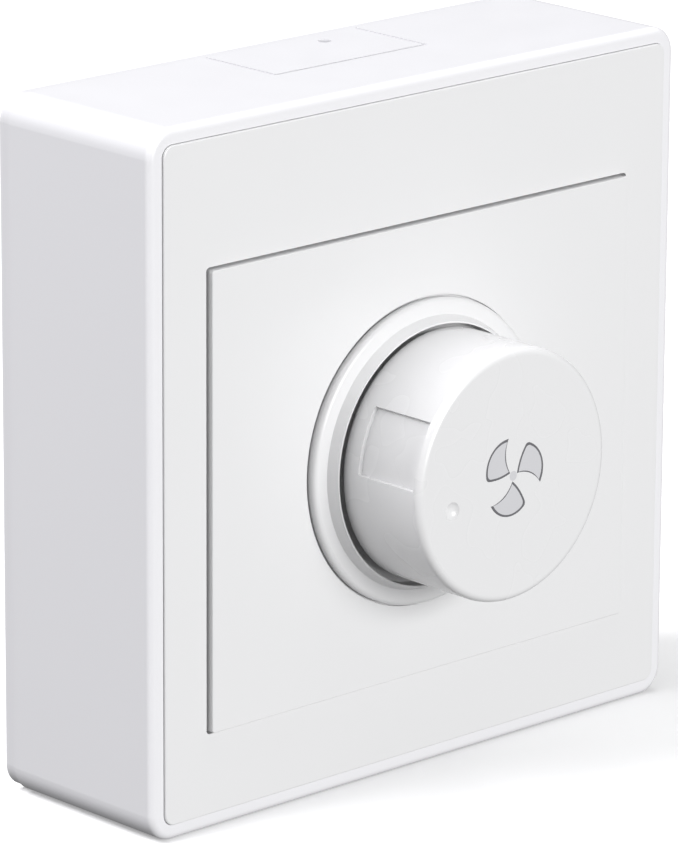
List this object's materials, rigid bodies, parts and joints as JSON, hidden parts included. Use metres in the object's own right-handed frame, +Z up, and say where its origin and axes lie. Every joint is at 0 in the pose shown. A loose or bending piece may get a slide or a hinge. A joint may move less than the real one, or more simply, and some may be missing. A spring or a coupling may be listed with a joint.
{
  "type": "rotary fan speed controller",
  "caption": "Surface-mounted rotary wall controller for a ventilation fan: square box with a framed face plate, raised centre panel, collar and pointer knob.",
  "frame": {"origin": "centre of the back plate's wall face", "axes": "+X to the right as seen from the front, +Y into the wall, +Z up; the knob's axis is parallel to Y, 2.65 mm below the origin"},
  "size_m": [0.086, 0.0426, 0.086],
  "materials": {
    "body_white": "satin gloss",
    "cover_white": "gloss",
    "knob_white": "gloss",
    "symbol_grey": "matt",
    "symbol_line": "matt print",
    "steel": "zinc plated",
    "bracket_aluminium": "mill",
    "can_steel": "tin plated",
    "bushing_brass": "turned",
    "rotor_plastic": "matt",
    "wafer_brown": "phenolic paper",
    "carbon_black": "carbon film",
    "tinned": "tinned",
    "nickel": "nickel plated",
    "board_green": "solder mask",
    "resistor_beige": "lacquer",
    "diac_blue": "gloss",
    "capacitor_yellow": "satin",
    "capacitor_red": "satin",
    "varistor_blue": "lacquer",
    "ferrite": "sintered",
    "copper": "enamelled wire",
    "moulding_black": "epoxy moulding",
    "pad_grey": "silicone sheet",
    "glass": "clear",
    "clip_bronze": "tin-plated bronze",
    "block_green": "satin"
  },
  "bodies": {
    "base": {"back_plate": "body_white", "pillars": "body_white", "housing": "body_white", "back_screws": "steel", "face_plate": "cover_white", "centre_panel": "cover_white", "collar": "cover_white", "mounting_bracket": "bracket_aluminium", "bracket_screws": "steel", "pot_can": "can_steel", "pot_bushing": "bushing_brass", "pot_wafer": "wafer_brown", "pot_track": "carbon_black", "pot_terminals": "tinned", "pot_washer": "steel", "pot_nut": "nickel", "circuit_board": "board_green", "board_screws": "steel", "solder_joints": "tinned", "resistors": "resistor_beige", "diac": "diac_blue", "axial_leads": "tinned", "suppressor_capacitor": "capacitor_yellow", "timing_capacitor": "capacitor_red", "varistor": "varistor_blue", "choke_core": "ferrite", "choke_winding": "copper", "radial_leads": "tinned", "triac_tab": "tinned", "triac_body": "moulding_black", "triac_pins": "tinned", "triac_pad": "pad_grey", "triac_screw": "steel", "triac_nut": "steel", "fuse_glass": "glass", "fuse_caps": "nickel", "fuse_wire": "tinned", "fuse_clips": "clip_bronze", "terminal_block": "block_green", "terminal_cages": "bushing_brass", "terminal_screws": "steel"},
    "knob": {"knob": "knob_white", "fan_symbol": "symbol_grey", "symbol_outline": "symbol_line", "pot_shaft": "steel", "pot_rotor": "rotor_plastic", "pot_wiper": "bushing_brass"}
  },
  "joints": [
    {"name": "knob_turn", "type": "hinge", "parent": "base", "child": "knob", "pos_m": [0, -0.03, -0.00265], "axis": [0, 1, 0], "range_deg": [-32, 238]}
  ]
}
